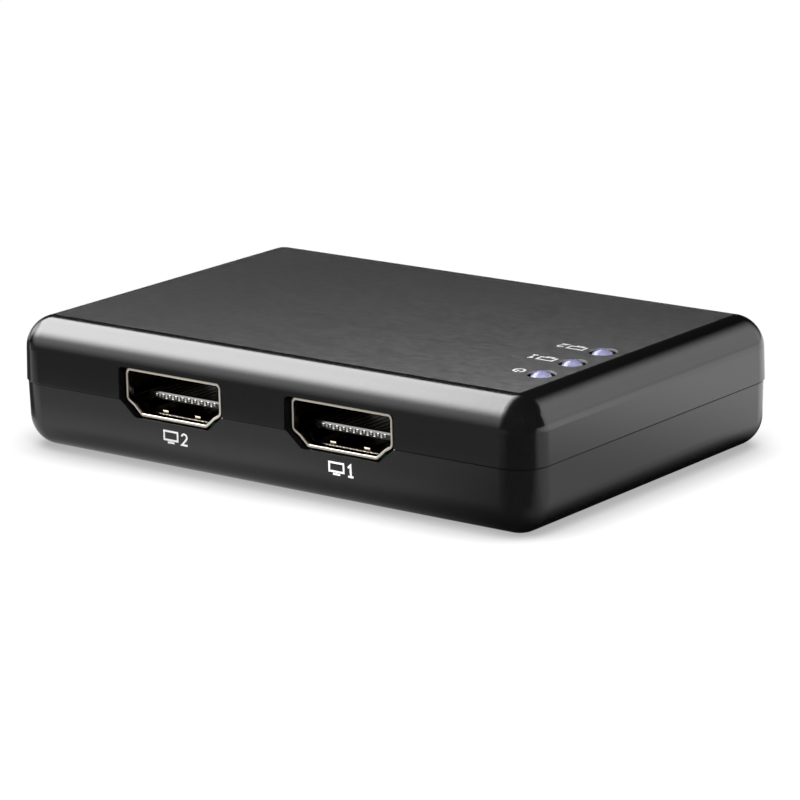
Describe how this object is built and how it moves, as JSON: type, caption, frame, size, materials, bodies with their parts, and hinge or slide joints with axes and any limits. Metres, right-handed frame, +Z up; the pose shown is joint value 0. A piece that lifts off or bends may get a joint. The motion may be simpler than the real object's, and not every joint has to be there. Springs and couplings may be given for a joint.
{
  "type": "hdmi splitter",
  "caption": "Flat black two-part plastic box with HDMI sockets on the front, an HDMI input and a power inlet on the back, and status lamps on top.",
  "frame": {"origin": "on the resting surface, under the middle of the case", "axes": "+X along the front face towards the lamps, +Y from the front with the two outputs to the back, +Z up"},
  "size_m": [0.0776, 0.0524, 0.0168],
  "materials": {
    "case_plastic": "black, satin with fine streaks on the top, glossy on the rolled edges",
    "screw_steel": "zinc-plated",
    "board_laminate": "green solder mask",
    "plated_shell": "nickel-plated sheet",
    "insulator_plastic": "black moulded plastic",
    "contact_metal": "gold flash",
    "lamp_lens": "clear tinted epoxy",
    "tinned_metal": "tin-plated",
    "package_plastic": "moulded epoxy",
    "ferrite": "pressed ferrite",
    "capacitor_can": "drawn can",
    "capacitor_ceramic": "ceramic",
    "resistor_film": "film on ceramic"
  },
  "bodies": {
    "root": {"upper_cover": "case_plastic", "lower_cover": "case_plastic", "case_screws": "screw_steel", "circuit_board": "board_laminate", "hdmi_output_1_shell": "plated_shell", "hdmi_output_1_insulator": "insulator_plastic", "hdmi_output_1_contacts": "contact_metal", "hdmi_output_2_shell": "plated_shell", "hdmi_output_2_insulator": "insulator_plastic", "hdmi_output_2_contacts": "contact_metal", "hdmi_input_shell": "plated_shell", "hdmi_input_insulator": "insulator_plastic", "hdmi_input_contacts": "contact_metal", "power_socket_shell": "plated_shell", "power_socket_insulator": "insulator_plastic", "power_socket_contacts": "contact_metal", "power_led": "lamp_lens", "output_1_led": "lamp_lens", "output_2_led": "lamp_lens", "led_leads": "tinned_metal", "splitter_chip": "package_plastic", "splitter_chip_leads": "tinned_metal", "crystal": "tinned_metal", "voltage_regulator": "package_plastic", "power_inductor": "ferrite", "bulk_capacitors": "capacitor_can", "memory_chip": "package_plastic", "surge_arrays": "package_plastic", "ceramic_capacitors": "capacitor_ceramic", "resistors": "resistor_film"}
  },
  "joints": []
}
